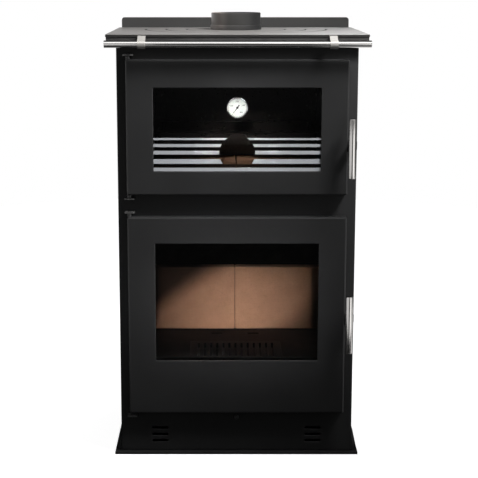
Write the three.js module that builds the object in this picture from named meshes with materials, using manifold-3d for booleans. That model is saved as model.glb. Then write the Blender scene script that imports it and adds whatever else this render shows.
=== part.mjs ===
// A wood-burning stove with an oven over the firebox: steel body, two glazed doors, hob, flue collar and hand rail.
// Millimetres, +Z up. The origin is at the middle of the base plate's underside, and the doors face -Y.
import * as THREE from "three";
import { mergeVertices } from "three/addons/utils/BufferGeometryUtils.js";
import Module from "manifold-3d";

const wasm = await Module();
wasm.setup();

// Clearances
const seatGap = 0.3;
const pinGap = 0.3;
const slideGap = 1.5;
const cutOverrun = 5;
const weldDistance = 1e-4;
const roundSides = 32;
const smallSides = 16;
const cornerSteps = 3;
const bevelSteps = 2;
const grooveSteps = 10;

// Doors
const doorWidth = 492;
const doorDepth = 24;
const doorGap = 2;
const doorSheet = 2.5;
const doorEdgeRound = 2;
const doorCorner = 3;
const lipSheet = 2;
const lipSetback = 6;
const lipMargin = 4;
const ovenDoorBelowHob = 55;
const ovenDoorHeight = 300;
const ovenWindowInset = 60;
const ovenWindowBelowTop = 61.5;
const ovenWindowSill = 53.5;
const fireDoorBottom = 106;
const gapBetweenDoors = 51;
const fireWindowInset = 61.5;
const fireWindowBelowTop = 60;
const fireWindowBottom = 231;
const windowCorner = 2;
const glassThickness = 4;
const glassOverlap = 12;
const clampSheet = 2;
const clampMargin = 3;
const gasketWidth = 8;
const gasketInset = 5;

// Body
const bodySideReach = 22;
const bodyDepth = 400;
const stoveHeight = 970;
const sideSheet = 2;
const frontSheet = 3;
const backSheet = 2;
const baseThickness = 6;
const baseSideReach = 14.5;
const baseFrontReach = 11;
const skirtHeight = 52;
const skirtReach = 14;
const skirtSheet = 2;
const frontEdgeRound = 1.5;

// Hob, flue collar and backguard
const hobSideReach = 22;
const hobFrontReach = 20;
const hobThickness = 6;
const hobCorner = 3;
const hobEdgeRound = 1;
const hobFrameHeight = 8;
const hobFrameInset = 1.5;
const hobFrameWidth = 62;
const collarDiameter = 118;
const collarWall = 3;
const collarHeight = 40;
const collarFromBack = 132;
const collarFootHeight = 11;
const collarFootWidth = 2;
const collarSpigotDepth = 12;
const grooveRadii = [118, 167, 216];
const grooveWidth = 4;
const grooveDepth = 2;
const grooveEndWidth = 8;
const grooveFrontAngle = 20;
const guardEndInset = 6.5;
const guardHeight = 25;
const guardSheet = 2.5;
const guardCorner = 7;

// Hand rail
const railDiameter = 16;
const railFromHob = 33.5;
const railBelowHob = 19.5;
const bracketFromRailEnd = 81;
const bracketWidth = 18;
const bracketStrap = 2.5;
const bracketArm = 4;
const bracketFootHeight = 9;
const bracketFootSheet = 3;

// Hinges
const hingeFromEdge = 5;
const hingeDepth = 16;
const hingePinDiameter = 7;
const hingePinReach = 8;
const hingeSleeveDiameter = 10;
const hingeSleeveHeight = 8;
const hingePlateThickness = 3;
const hingePlateWidth = 22;

// Handles
const gripDiameter = 16;
const gripLength = 131;
const gripFromFront = 61;
const gripFromPin = 4.5;
const ovenGripHeight = 108;
const fireGripCentre = 324.5;
const leverHeight = 26;
const leverArmWidth = 5;
const leverArmOffset = 3.5;
const leverEye = 10;
const leverPinDiameter = 5;
const leverPinFromDoor = 10;
const leverPinDepth = 14;
const lugThickness = 4;
const hookStemWidth = 3.2;
const hookStemOffset = 2.4;
const hookWidth = 5.5;
const hookReach = 12.5;
const hookThickness = 3.5;
const keeperSheet = 2.4;
const keeperLength = 18;
const keeperWidth = 6.1;
const keeperFootWidth = 6;
const keeperHookGap = 0.9;
const keeperLipGap = 0.9;
const keeperFootSheet = 2;

// Thermometer
const dialBelowTop = 104.5;
const caseDiameter = 46;
const caseDepth = 11;
const caseWall = 2.5;
const caseBack = 2;
const stemDiameter = 6;
const stemReach = 34;
const nutDiameter = 14;
const nutThickness = 3;
const nutSides = 6;
const dialThickness = 0.8;
const dialStandoff = 2;
const needleThickness = 0.8;
const needleLength = 16;
const needleTail = 7.5;
const needleWidth = 2.2;
const needleHub = 5;
const needlePin = 2;
const needleRestAngle = 36;
const lensThickness = 1.5;
const lensSetback = 1;

// Openings in the front plate
const mouthInset = 43;
const mouthCorner = 6;
const ovenMouthSill = 45;
const ovenMouthBelowTop = 40;
const fireMouthBottom = 209;
const fireMouthBelowTop = 29;
const ashMouthBottom = 121;
const ashMouthTop = 180;
const ventLength = 38;
const ventHeight = 6.5;
const ventCentres = [30, 45.5, 61.5];
const ventOffset = 177.5;
const airHoleCentre = 89;
const airHoleDiameter = 8;

// Firebox
const fireInset = 27;
const fireWall = 3;
const linerThickness = 6;
const linerBelowBaffle = 105;
const brickFromBack = 42;
const brickThickness = 30;
const brickHeight = 163;
const brickJoint = 1.2;
const brickChamfer = 2;
const fireFloorTop = 202;
const fireFloorThickness = 5;
const ledgeWidth = 14;
const ledgeThickness = 3;
const floorSlotLength = 29;
const floorSlotWidth = 8;
const floorSlotOffset = 46;
const floorSlotFromBrick = 42;
const grateWidth = 222;
const grateLength = 174;
const grateThickness = 12;
const grateRim = 10;
const grateFlange = 3;
const grateSlotWidth = 6;
const gratePitch = 15;
const grateFromFront = 60;
const retainerHeight = 25;
const retainerSheet = 4;
const retainerFromFront = 26;
const retainerFold = 12;
const baffleBelowTop = 16;
const baffleThickness = 5;
const baffleFrontGap = 90;

// Ash pan and air control
const panWidth = 360;
const panBackGap = 28.3;
const panHeight = 50;
const panSheet = 1.5;
const panSetback = 40;
const bailWidth = 90;
const bailReach = 18;
const bailRod = 5;
const bailFromTop = 12;
const airKnobDiameter = 10;
const airKnobLength = 9;
const airRodDiameter = 6;
const airPlateWidth = 120;
const airPlateLength = 70;
const airPlateSheet = 2;
const airPortWidth = 100;
const airPortLength = 40;
const airPortFromFront = 130;
const airPortCorner = 5;
const airGuideWidth = 5;
const airTravel = 40;
const airKnobGap = 1;
const airArmSheet = 3;
const airArmWidth = 20;

// Oven
const ovenInset = 46;
const ovenFromBack = 86.7;
const ovenHeadroom = 10;
const ovenSheet = 2.5;
const tileThickness = 20;
const tileJoint = 1.5;
const tileChamfer = 2;
const runnerWidth = 12;
const runnerSheet = 2;
const runnerDrop = 14;
const runnerEndGap = 8;
const trayFromFloor = 86;
const trayBackGap = 13.3;
const trayHeight = 28;
const traySheet = 1.5;
const trayRim = 16;
const trayCorner = 8;
const traySetback = 50;

// Colours from the photograph
const blackPaint = { color: 0x232323, roughness: 0.55, metalness: 0.2 };
const doorPaint = { color: 0x2a2a2a, roughness: 0.5, metalness: 0.2 };
const hobSteel = { color: 0x6d6a69, roughness: 0.45, metalness: 0.5 };
const stainless = { color: 0xc8c2bc, roughness: 0.2, metalness: 1 };
const bareSteel = { color: 0x3a3838, roughness: 0.6, metalness: 0.6 };
const castIron = { color: 0x1c1b1b, roughness: 0.8, metalness: 0.4 };
const firebrick = { color: 0xa07a60, roughness: 0.95, metalness: 0 };
const ovenEnamel = { color: 0x14100d, roughness: 0.3, metalness: 0.1 };
const darkGlass = { color: 0x101010, roughness: 0.05, metalness: 0 };
const ropeGrey = { color: 0x4a4845, roughness: 1, metalness: 0 };
const dialWhite = { color: 0xd8d7d3, roughness: 0.6, metalness: 0 };
const needleBlack = { color: 0x111111, roughness: 0.5, metalness: 0 };

// Levels worked out from the sizes above
const bodyFront = -bodyDepth / 2;
const bodyBack = bodyDepth / 2;
const bodyWidth = doorWidth + 2 * bodySideReach;
const halfBody = bodyWidth / 2;
const mouthWidth = doorWidth - 2 * mouthInset;
const fireWidth = doorWidth - 2 * fireInset;
const ovenWidth = doorWidth - 2 * ovenInset;
const ovenWindowWidth = doorWidth - 2 * ovenWindowInset;
const fireWindowWidth = doorWidth - 2 * fireWindowInset;
const hobWidth = bodyWidth + 2 * hobSideReach;
const guardWidth = hobWidth - 2 * guardEndInset;
const hobTop = stoveHeight;
const hobUnder = hobTop - hobThickness;
const frameTop = hobUnder - seatGap;
const frameUnder = frameTop - hobFrameHeight;
const bodyTop = frameUnder - seatGap;
const bodyBottom = baseThickness + seatGap;
const collarY = bodyBack - collarFromBack;
const hobFront = bodyFront - hobFrontReach;
const railHeight = hobTop - railBelowHob;
const bracketOffset = hobWidth / 2 - bracketFromRailEnd;
const leverPinOffset = doorWidth / 2 + leverPinFromDoor;
const shellHalf = fireWidth / 2 + linerThickness + seatGap;
const brickFront = bodyBack - brickFromBack;
const shellBack = brickFront + brickThickness + seatGap;
const shellFront = bodyFront + frontSheet + seatGap;
const shellTop = bodyTop;
const ashFloorTop = ashMouthBottom;
const ashFloorUnder = ashFloorTop - fireWall;
const ovenDoorBottom = hobTop - ovenDoorBelowHob - ovenDoorHeight;
const ovenDoorTop = ovenDoorBottom + ovenDoorHeight;
const ovenWindowBottom = ovenDoorBottom + ovenWindowSill;
const ovenWindowHeight = ovenDoorTop - ovenWindowBelowTop - ovenWindowBottom;
const ovenGripCentre = ovenDoorBottom + ovenGripHeight;
const dialCentre = ovenDoorTop - dialBelowTop;
const ovenMouthBottom = ovenDoorBottom + ovenMouthSill;
const ovenMouthTop = ovenDoorTop - ovenMouthBelowTop;
const ovenTop = ovenMouthTop + ovenHeadroom;
const ovenFloorTop = ovenMouthBottom - tileThickness - seatGap;
const trayTop = ovenMouthBottom + trayFromFloor;
const fireDoorTop = ovenDoorBottom - gapBetweenDoors;
const fireDoorHeight = fireDoorTop - fireDoorBottom;
const fireWindowHeight = fireDoorTop - fireWindowBelowTop - fireWindowBottom;
const fireMouthTop = fireDoorTop - fireMouthBelowTop;
const baffleHeight = fireDoorTop - baffleBelowTop;
const linerHeight = baffleHeight - linerBelowBaffle - fireFloorTop;
const doorBack = -doorGap;
const doorFront = doorBack - doorDepth;

// Turns a closed geometry into a solid that can be joined and cut.
function solidOf(geometry) {
  const source = geometry.index ? geometry.toNonIndexed() : geometry.clone();
  source.deleteAttribute("normal");
  source.deleteAttribute("uv");
  const merged = mergeVertices(source, weldDistance);
  return new wasm.Manifold(
    new wasm.Mesh({
      numProp: 3,
      vertProperties: merged.attributes.position.array,
      triVerts: new Uint32Array(merged.index.array),
    }),
  );
}

// Names a solid and gives it a material.
function piece(name, solid, finish) {
  const made = solid.getMesh();
  const geometry = new THREE.BufferGeometry();
  geometry.setAttribute("position", new THREE.BufferAttribute(new Float32Array(made.vertProperties), 3));
  geometry.setIndex(new THREE.BufferAttribute(new Uint32Array(made.triVerts), 1));
  geometry.computeVertexNormals();
  const mesh = new THREE.Mesh(geometry, new THREE.MeshStandardMaterial(finish));
  mesh.name = name;
  return mesh;
}

function join(first, ...others) {
  return others.reduce((made, next) => made.add(next), first);
}

function cut(first, ...tools) {
  return tools.reduce((made, next) => made.subtract(next), first);
}

// A box between two values on each axis.
function block([x0, x1], [y0, y1], [z0, z1]) {
  const geometry = new THREE.BoxGeometry(x1 - x0, y1 - y0, z1 - z0);
  return solidOf(geometry.translate((x0 + x1) / 2, (y0 + y1) / 2, (z0 + z1) / 2));
}

// The two values at equal distances from a middle.
function about(middle, size) {
  return [middle - size / 2, middle + size / 2];
}

// A round bar along X, Y or Z, from one end to the other.
function bar(axis, diameter, [from, to], [first, second], sides = roundSides) {
  const geometry = new THREE.CylinderGeometry(diameter / 2, diameter / 2, to - from, sides);
  const middle = (from + to) / 2;
  if (axis === "x") geometry.rotateZ(Math.PI / 2).translate(middle, first, second);
  if (axis === "y") geometry.translate(first, middle, second);
  if (axis === "z") geometry.rotateX(Math.PI / 2).translate(first, second, middle);
  return solidOf(geometry);
}

// A rectangle with rounded corners, centred at the origin.
function roundedRectangle(width, height, radius) {
  const [x, y] = [width / 2, height / 2];
  const shape = new THREE.Shape();
  shape.moveTo(-x + radius, -y);
  shape.lineTo(x - radius, -y);
  shape.absarc(x - radius, -y + radius, radius, -Math.PI / 2, 0);
  shape.lineTo(x, y - radius);
  shape.absarc(x - radius, y - radius, radius, 0, Math.PI / 2);
  shape.lineTo(-x + radius, y);
  shape.absarc(-x + radius, y - radius, radius, Math.PI / 2, Math.PI);
  shape.lineTo(-x, -y + radius);
  shape.absarc(-x + radius, -y + radius, radius, Math.PI, Math.PI * 1.5);
  return shape;
}

// A plate with rounded corners that lies on XY, its underside at zero; a bevel eases the edges of its upper face.
function plateGeometry(width, length, thickness, radius, bevel) {
  const shape = roundedRectangle(width - 2 * bevel, length - 2 * bevel, Math.max(radius - bevel, bevel / 2));
  const settings = { depth: thickness - bevel, curveSegments: cornerSteps, bevelEnabled: bevel > 0 };
  if (bevel > 0) Object.assign(settings, { bevelThickness: bevel, bevelSize: bevel, bevelSegments: bevelSteps });
  const geometry = new THREE.ExtrudeGeometry(shape, settings);
  const places = geometry.attributes.position;
  for (let i = 0; i < places.count; i++) places.setZ(i, Math.max(places.getZ(i), 0));
  return geometry;
}

function middleOf([from, to]) {
  return (from + to) / 2;
}

function sizeOf([from, to]) {
  return to - from;
}

// A plate that stands up and faces -Y.
function standingPlate(x, y, z, radius, bevel = 0) {
  const geometry = plateGeometry(sizeOf(x), sizeOf(z), sizeOf(y), radius, bevel);
  return solidOf(geometry.rotateX(Math.PI / 2).translate(middleOf(x), y[1], middleOf(z)));
}

// A plate that lies flat and faces up.
function lyingPlate(x, y, z, radius, bevel = 0) {
  const geometry = plateGeometry(sizeOf(x), sizeOf(y), sizeOf(z), radius, bevel);
  return solidOf(geometry.translate(middleOf(x), middleOf(y), z[0]));
}

// An outline drawn on XY and pushed up along Z.
function risingPrism(points, [z0, z1]) {
  const shape = new THREE.Shape(points.map(([x, y]) => new THREE.Vector2(x, y)));
  const geometry = new THREE.ExtrudeGeometry(shape, { depth: z1 - z0, bevelEnabled: false });
  return solidOf(geometry.translate(0, 0, z0));
}

// An outline drawn on XZ and pushed back along Y.
function deepPrism(points, [y0, y1]) {
  const shape = new THREE.Shape(points.map(([x, z]) => new THREE.Vector2(x, z)));
  const geometry = new THREE.ExtrudeGeometry(shape, { depth: y1 - y0, bevelEnabled: false });
  return solidOf(geometry.rotateX(Math.PI / 2).translate(0, y1, 0));
}

// A closed profile of radius and height pairs, turned about an upright axis.
function turned(profile, x, y) {
  const points = [...profile, profile[0]].map(([radius, height]) => new THREE.Vector2(radius, height));
  const geometry = new THREE.LatheGeometry(points, roundSides);
  return solidOf(geometry.rotateX(Math.PI / 2).translate(x, y, 0));
}

function mirrored([from, to]) {
  return [-to, -from];
}

// Body

const body = new THREE.Group();

function basePlate() {
  const half = halfBody + baseSideReach;
  return block([-half, half], [bodyFront - baseFrontReach, bodyBack], [0, baseThickness]);
}

// A sheet that leans out from the side panel to the base plate, with a mitred plate closing its front end.
function sideSkirt(side) {
  const inner = halfBody + seatGap;
  const outer = halfBody + skirtReach;
  const top = bodyBottom + skirtHeight;
  const leaning = (start) => [
    [side * start, top],
    [side * (start + skirtSheet), top],
    [side * outer, bodyBottom],
    [side * start, bodyBottom],
  ];
  const hollow = [
    [side * (inner - skirtSheet), top],
    [side * inner, top],
    [side * (outer - skirtSheet), bodyBottom - seatGap],
    [side * (inner - skirtSheet), bodyBottom - seatGap],
  ];
  const far = skirtReach + cutOverrun;
  const mitre = (start) => [
    [side * inner, start],
    [side * (inner + far), start + far],
    [side * (inner + far), start - far],
    [side * inner, start - far],
  ];
  const height = [0, top + cutOverrun];
  const whole = cut(deepPrism(leaning(inner), [bodyFront, bodyBack]), risingPrism(mitre(bodyFront), height));
  const space = deepPrism(hollow, [bodyFront, bodyBack + cutOverrun]);
  return cut(whole, cut(space, risingPrism(mitre(bodyFront + skirtSheet), height)));
}

function ventCut(x, z) {
  const y = [bodyFront - cutOverrun, bodyFront + frontSheet + cutOverrun];
  return standingPlate(about(x, ventLength), y, about(z, ventHeight), ventHeight / 2 - seatGap);
}

function mouthCut(z) {
  const y = [bodyFront - cutOverrun, bodyFront + frontSheet + cutOverrun];
  return standingPlate(about(0, mouthWidth), y, z, mouthCorner);
}

function frontPlate() {
  const y = [bodyFront, bodyFront + frontSheet];
  const whole = standingPlate(about(0, bodyWidth), y, [bodyBottom, bodyTop], frontEdgeRound, frontEdgeRound);
  const mouths = [
    [ovenMouthBottom, ovenMouthTop],
    [fireMouthBottom, fireMouthTop],
    [ashMouthBottom, ashMouthTop],
  ].map(mouthCut);
  const vents = ventCentres.flatMap((z) => [ventCut(-ventOffset, z), ventCut(ventOffset, z)]);
  const through = [bodyFront - cutOverrun, bodyFront + frontSheet + cutOverrun];
  const airHole = bar("y", airHoleDiameter, through, [0, airHoleCentre], smallSides);
  return cut(whole, ...mouths, ...vents, airHole);
}

function sidePanel(side) {
  const x = side > 0 ? [halfBody - sideSheet, halfBody] : [-halfBody, sideSheet - halfBody];
  return block(x, [shellFront, bodyBack - backSheet - seatGap], [bodyBottom, bodyTop]);
}

function backPanel() {
  return block([-halfBody, halfBody], [bodyBack - backSheet, bodyBack], [bodyBottom, bodyTop]);
}

body.add(piece("base_plate", basePlate(), blackPaint));
body.add(piece("side_skirt_left", sideSkirt(-1), blackPaint));
body.add(piece("side_skirt_right", sideSkirt(1), blackPaint));
body.add(piece("front_plate", frontPlate(), blackPaint));
body.add(piece("side_panel_left", sidePanel(-1), blackPaint));
body.add(piece("side_panel_right", sidePanel(1), blackPaint));
body.add(piece("back_panel", backPanel(), blackPaint));

// Firebox

const floorUnder = fireFloorTop - fireFloorThickness;
const shellDepth = [shellFront, shellBack];

// Both copies of a block, one on each side of the stove.
function pair(x, y, z) {
  return [block(x, y, z), block(mirrored(x), y, z)];
}

const airPlateTop = ashFloorUnder - seatGap;
const airPlateUnder = airPlateTop - airPlateSheet;
const airLipTop = airPlateUnder - seatGap;
const airLipUnder = airLipTop - ledgeThickness;

function fireboxShell() {
  const wall = [shellHalf, shellHalf + fireWall];
  const ledge = [shellHalf - ledgeWidth, shellHalf + fireWall / 2];
  const upright = [ashFloorUnder, shellTop];
  const floorLedge = [floorUnder - seatGap - ledgeThickness, floorUnder - seatGap];
  const baffleLedge = [baffleHeight - seatGap - ledgeThickness, baffleHeight - seatGap];
  const guide = [airPlateWidth / 2 + seatGap, airPlateWidth / 2 + seatGap + airGuideWidth];
  const guideLip = [airPlateWidth / 2 - airGuideWidth, guide[1]];
  const guideDepth = about(bodyFront + airPortFromFront, airPlateLength + 2 * airTravel);
  const across = [-shellHalf - fireWall, shellHalf + fireWall];
  const made = join(
    block(across, shellDepth, [ashFloorUnder, ashFloorTop]),
    block(across, [shellBack, shellBack + fireWall], upright),
    ...pair(wall, [shellFront, shellBack + fireWall], upright),
    ...pair(ledge, shellDepth, floorLedge),
    ...pair(ledge, shellDepth, baffleLedge),
    ...pair(guide, guideDepth, [airLipUnder, ashFloorTop]),
    ...pair(guideLip, guideDepth, [airLipUnder, airLipTop]),
  );
  const port = lyingPlate(
    about(0, airPortWidth),
    about(bodyFront + airPortFromFront, airPortLength),
    [ashFloorUnder - cutOverrun, ashFloorTop + cutOverrun],
    airPortCorner,
  );
  return cut(made, port);
}

const grateDepth = [bodyFront + grateFromFront, bodyFront + grateFromFront + grateLength];
const grateSpan = about(0, grateWidth);
const grateBodySpan = [grateSpan[0] + grateRim, grateSpan[1] - grateRim];
const grateBodyDepth = [grateDepth[0] + grateRim, grateDepth[1] - grateRim];

function fireFloor() {
  const half = shellHalf - seatGap;
  const whole = block([-half, half], [shellFront, shellBack - seatGap], [floorUnder, fireFloorTop]);
  const through = [floorUnder - cutOverrun, fireFloorTop + cutOverrun];
  const wide = ([from, to]) => [from - slideGap, to + slideGap];
  const opening = block(wide(grateBodySpan), wide(grateBodyDepth), through);
  const slots = [-1, 1].map((side) =>
    lyingPlate(
      about(side * floorSlotOffset, floorSlotLength),
      about(brickFront - floorSlotFromBrick, floorSlotWidth),
      through,
      floorSlotWidth / 4,
    ),
  );
  return cut(whole, opening, ...slots);
}

// A cast grate: a flange that lies on the floor plate, and a slotted body that hangs in its opening.
function fireGrate() {
  const flangeUnder = fireFloorTop + seatGap;
  const top = flangeUnder + grateFlange;
  const made = join(
    lyingPlate(grateSpan, grateDepth, [flangeUnder, top], grateFlange, grateFlange / 2),
    block(grateBodySpan, grateBodyDepth, [top - grateThickness, flangeUnder + grateFlange / 2]),
  );
  const count = Math.floor((sizeOf(grateBodySpan) - grateSlotWidth) / gratePitch);
  const slotDepth = [grateBodyDepth[0] + grateRim, grateBodyDepth[1] - grateRim];
  const slots = Array.from({ length: count }, (_, i) => {
    const x = (i - (count - 1) / 2) * gratePitch;
    const through = [top - grateThickness - cutOverrun, top + cutOverrun];
    return lyingPlate(about(x, grateSlotWidth), slotDepth, through, grateSlotWidth / 2 - seatGap);
  });
  return cut(made, ...slots);
}

// A plate bent forward at its top, which keeps logs and embers off the door.
function logRetainer() {
  const half = fireWidth / 2 - slideGap;
  const back = bodyFront + retainerFromFront;
  const top = fireFloorTop + retainerHeight;
  return join(
    block([-half, half], [back - retainerSheet, back], [fireFloorTop + seatGap, top]),
    block([-half, half], [back - retainerFold, back], [top - retainerSheet / 2, top]),
  );
}

function sideLiner(side) {
  const inner = fireWidth / 2;
  const x = side > 0 ? [inner, inner + linerThickness] : [-inner - linerThickness, -inner];
  const bottom = fireFloorTop + seatGap;
  return block(x, [shellFront, brickFront - seatGap], [bottom, bottom + linerHeight]);
}

function backBrick(side) {
  const inner = brickJoint / 2;
  const outer = shellHalf - seatGap;
  const x = side > 0 ? [inner, outer] : [-outer, -inner];
  const bottom = fireFloorTop + seatGap;
  const y = [brickFront, brickFront + brickThickness];
  return standingPlate(x, y, [bottom, bottom + brickHeight], brickChamfer, brickChamfer);
}

function smokeBaffle() {
  const half = shellHalf - seatGap;
  const y = [bodyFront + baffleFrontGap, shellBack - seatGap];
  return block([-half, half], y, [baffleHeight, baffleHeight + baffleThickness]);
}

body.add(piece("firebox_shell", fireboxShell(), bareSteel));
body.add(piece("fire_floor", fireFloor(), bareSteel));
body.add(piece("fire_grate", fireGrate(), castIron));
body.add(piece("log_retainer", logRetainer(), bareSteel));
body.add(piece("side_liner_left", sideLiner(-1), castIron));
body.add(piece("side_liner_right", sideLiner(1), castIron));
body.add(piece("back_brick_left", backBrick(-1), firebrick));
body.add(piece("back_brick_right", backBrick(1), firebrick));
body.add(piece("smoke_baffle", smokeBaffle(), bareSteel));

// Ash pan and air control

const ashPan = new THREE.Group();
const panFront = bodyFront + panSetback;
const panBottom = ashFloorTop + seatGap;

function ashPanBox() {
  const x = about(0, panWidth);
  const y = [panFront, shellBack - panBackGap];
  const inside = ([from, to]) => [from + panSheet, to - panSheet];
  const top = panBottom + panHeight;
  return cut(
    block(x, y, [panBottom, top]),
    block(inside(x), inside(y), [panBottom + panSheet, top + cutOverrun]),
  );
}

// A rod bent twice, welded to the front of the pan.
function ashPanBail() {
  const height = panBottom + panHeight - bailFromTop;
  const front = panFront - bailReach;
  const leg = [front, panFront - seatGap];
  const reach = (bailWidth - bailRod) / 2;
  return join(
    bar("x", bailRod, about(0, bailWidth), [front, height], smallSides),
    bar("y", bailRod, leg, [-reach, height], smallSides),
    bar("y", bailRod, leg, [reach, height], smallSides),
  );
}

ashPan.add(piece("ash_pan", ashPanBox(), bareSteel));
ashPan.add(piece("ash_pan_bail", ashPanBail(), bareSteel));

const airControl = new THREE.Group();

// A plate that slides under the air port, with a rod that comes out through the front plate.
function airSlide() {
  const plateDepth = about(bodyFront + airPortFromFront, airPlateLength);
  const arm = [plateDepth[0], plateDepth[0] + airArmSheet];
  const rod = [bodyFront - seatGap - airKnobGap, plateDepth[0] + airArmSheet / 2];
  return join(
    block(about(0, airPlateWidth), plateDepth, [airPlateUnder, airPlateTop]),
    block(about(0, airArmWidth), arm, [airHoleCentre - airRodDiameter, airPlateTop]),
    bar("y", airRodDiameter, rod, [0, airHoleCentre], smallSides),
  );
}

function airKnob() {
  const back = bodyFront - airKnobGap - 2 * seatGap;
  return bar("y", airKnobDiameter, [back - airKnobLength, back], [0, airHoleCentre], smallSides);
}

airControl.add(piece("air_slide", airSlide(), bareSteel));
airControl.add(piece("air_knob", airKnob(), stainless));

// Oven

const ovenFront = shellFront;
const ovenBack = bodyBack - ovenFromBack;
const halfOven = ovenWidth / 2;

function ovenLiner() {
  const outside = ([from, to]) => [from - ovenSheet, to + ovenSheet];
  const x = [-halfOven, halfOven];
  const z = [ovenFloorTop, ovenTop];
  return cut(
    block(outside(x), [ovenFront, ovenBack + ovenSheet], outside(z)),
    block(x, [ovenFront - cutOverrun, ovenBack], z),
  );
}

function ovenTile(side) {
  const inner = tileJoint / 2;
  const outer = halfOven - seatGap;
  const x = side > 0 ? [inner, outer] : [-outer, -inner];
  const bottom = ovenFloorTop + seatGap;
  const y = [ovenFront, ovenBack - seatGap];
  return lyingPlate(x, y, [bottom, bottom + tileThickness], tileChamfer, tileChamfer);
}

const runnerTop = trayTop - traySheet - seatGap;

// An angle strip on the oven's wall, on which the tray's rim slides.
function trayRunner(side) {
  const outer = halfOven - seatGap;
  const y = [ovenFront + runnerEndGap, ovenBack - runnerEndGap];
  const shelf = [outer - runnerWidth, outer];
  const leg = [outer - runnerSheet, outer];
  const drop = [runnerTop - runnerDrop, runnerTop];
  const [shelfX, legX] = side > 0 ? [shelf, leg] : [mirrored(shelf), mirrored(leg)];
  return join(block(shelfX, y, [runnerTop - runnerSheet, runnerTop]), block(legX, y, drop));
}

const tray = new THREE.Group();

// A pressed tray with a flat rim.
function bakingTray() {
  const rimHalf = halfOven - slideGap;
  const rimX = [-rimHalf, rimHalf];
  const rimY = [bodyFront + traySetback, ovenBack - trayBackGap];
  const inset = ([from, to], amount) => [from + amount, to - amount];
  const [wellX, wellY] = [inset(rimX, trayRim), inset(rimY, trayRim)];
  const made = join(
    lyingPlate(rimX, rimY, [trayTop - traySheet, trayTop], trayCorner),
    lyingPlate(wellX, wellY, [trayTop - trayHeight, trayTop - traySheet / 2], trayCorner),
  );
  const hollow = [trayTop - trayHeight + traySheet, trayTop + cutOverrun];
  return cut(made, lyingPlate(inset(wellX, traySheet), inset(wellY, traySheet), hollow, trayCorner - traySheet));
}

body.add(piece("oven_liner", ovenLiner(), ovenEnamel));
body.add(piece("oven_tile_left", ovenTile(-1), firebrick));
body.add(piece("oven_tile_right", ovenTile(1), firebrick));
body.add(piece("tray_runner_left", trayRunner(-1), ovenEnamel));
body.add(piece("tray_runner_right", trayRunner(1), ovenEnamel));
tray.add(piece("baking_tray", bakingTray(), ovenEnamel));

// Hob

const hobDepth = [hobFront, bodyBack];

function hobFrame() {
  const half = hobWidth / 2 - hobFrameInset;
  const x = [-half, half];
  const y = [hobFront + hobFrameInset, bodyBack];
  const z = [frameUnder, frameTop];
  const inset = ([from, to]) => [from + hobFrameWidth, to - hobFrameWidth];
  const through = [frameUnder - cutOverrun, frameTop + cutOverrun];
  return cut(block(x, y, z), block(inset(x), inset(y), through));
}

// A groove that follows an arc round the collar, from the side to near the front, with a wider round end.
function hobGroove(radius, side) {
  const bottom = hobTop - grooveDepth;
  const top = hobTop + cutOverrun;
  const start = THREE.MathUtils.degToRad(-90 + side * grooveFrontAngle);
  const end = THREE.MathUtils.degToRad(-90 + side * 90);
  const shape = new THREE.Shape();
  const [inner, outer] = about(radius, grooveWidth);
  shape.absarc(0, 0, outer, start, end, side < 0);
  shape.absarc(0, 0, inner, end, start, side > 0);
  const settings = { depth: top - bottom, bevelEnabled: false, curveSegments: grooveSteps };
  const arc = solidOf(new THREE.ExtrudeGeometry(shape, settings).translate(0, collarY, bottom));
  return join(arc, bar("z", grooveEndWidth, [bottom, top], [side * radius, collarY], smallSides));
}

function hobPlate() {
  const z = [hobUnder, hobTop];
  const whole = lyingPlate(about(0, hobWidth), hobDepth, z, hobCorner, hobEdgeRound);
  const grooves = grooveRadii.flatMap((radius) => [hobGroove(radius, -1), hobGroove(radius, 1)]);
  const through = [hobUnder - cutOverrun, hobTop + cutOverrun];
  return cut(whole, ...grooves, bar("z", collarDiameter + 2 * seatGap, through, [0, collarY]));
}

// A spigot with a foot ring that rests on the hob.
function flueCollar() {
  const outer = collarDiameter / 2;
  const inner = outer - collarWall;
  const foot = outer + collarFootWidth;
  const footUnder = hobTop + seatGap;
  const footTop = hobTop + collarFootHeight;
  const profile = [
    [inner, hobTop - collarSpigotDepth],
    [outer, hobTop - collarSpigotDepth],
    [outer, footUnder],
    [foot, footUnder],
    [foot, footTop],
    [outer, footTop],
    [outer, hobTop + collarHeight],
    [inner, hobTop + collarHeight],
  ];
  return turned(profile, 0, collarY);
}

function backguard() {
  const y = [bodyBack + seatGap, bodyBack + seatGap + guardSheet];
  return standingPlate(about(0, guardWidth), y, [frameUnder, hobTop + guardHeight], guardCorner);
}

const railY = hobFront - railFromHob;

// A round bar as long as the hob is wide.
function handRail() {
  return bar("x", railDiameter, about(0, hobWidth), [railY, railHeight]);
}

// A strap round the rail, with an arm back to a foot on the hob's front edge.
function railBracket(side) {
  const x = about(side * bracketOffset, bracketWidth);
  const bore = railDiameter + 2 * seatGap;
  const ring = bore + 2 * bracketStrap;
  const footBack = hobFront - seatGap;
  const foot = block(x, [footBack - bracketFootSheet, footBack], [frameUnder, frameUnder + bracketFootHeight]);
  const armTop = railHeight + ring / 2 - bracketStrap;
  const arm = block(x, [railY, footBack - bracketFootSheet / 2], [armTop - bracketArm, armTop]);
  const past = [x[0] - cutOverrun, x[1] + cutOverrun];
  return cut(join(foot, arm, bar("x", ring, x, [railY, railHeight])), bar("x", bore, past, [railY, railHeight]));
}

const hob = new THREE.Group();
hob.add(piece("hob_frame", hobFrame(), bareSteel));
hob.add(piece("hob_plate", hobPlate(), hobSteel));
hob.add(piece("flue_collar", flueCollar(), hobSteel));
hob.add(piece("backguard", backguard(), hobSteel));
hob.add(piece("hand_rail", handRail(), stainless));
hob.add(piece("rail_bracket_left", railBracket(-1), stainless));
hob.add(piece("rail_bracket_right", railBracket(1), stainless));

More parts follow.
